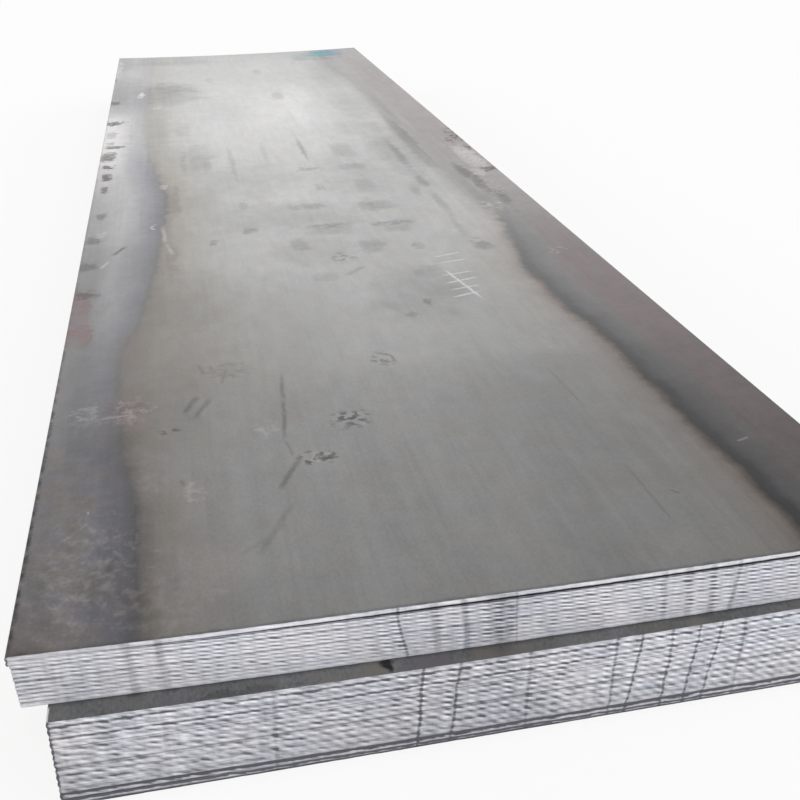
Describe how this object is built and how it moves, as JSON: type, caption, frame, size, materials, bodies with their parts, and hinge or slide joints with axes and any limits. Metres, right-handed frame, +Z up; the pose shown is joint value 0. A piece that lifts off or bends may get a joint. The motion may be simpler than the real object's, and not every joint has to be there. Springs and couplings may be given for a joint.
{
  "type": "steel plate stack",
  "caption": "Pile of flat hot-rolled steel plates in two packs, the upper pack of thinner plates lying slightly askew on the lower, with sheared ends and rolled long edges.",
  "frame": {"origin": "on the floor under the middle of the pile's bounding box", "axes": "+Z up; +Y along the plates, away from the end seen first; +X across the plates, to the right when looking along +Y"},
  "size_m": [1.5742, 6.0434, 0.2623],
  "materials": {
    "upper_plates": "bare hot-rolled steel with light grey mill scale, satin, bright at the sheared ends",
    "lower_plates": "bare hot-rolled steel with darker mill scale, satin, bright at the sheared ends"
  },
  "bodies": {
    "root": {"upper_plate_01": "upper_plates", "upper_plate_02": "upper_plates", "upper_plate_03": "upper_plates", "upper_plate_04": "upper_plates", "upper_plate_05": "upper_plates", "upper_plate_06": "upper_plates", "upper_plate_07": "upper_plates", "upper_plate_08": "upper_plates", "upper_plate_09": "upper_plates", "upper_plate_10": "upper_plates", "upper_plate_11": "upper_plates", "upper_plate_12": "upper_plates", "lower_plate_01": "lower_plates", "lower_plate_02": "lower_plates", "lower_plate_03": "lower_plates", "lower_plate_04": "lower_plates", "lower_plate_05": "lower_plates", "lower_plate_06": "lower_plates", "lower_plate_07": "lower_plates", "lower_plate_08": "lower_plates", "lower_plate_09": "lower_plates", "lower_plate_10": "lower_plates", "lower_plate_11": "lower_plates", "lower_plate_12": "lower_plates", "lower_plate_13": "lower_plates"}
  },
  "joints": []
}
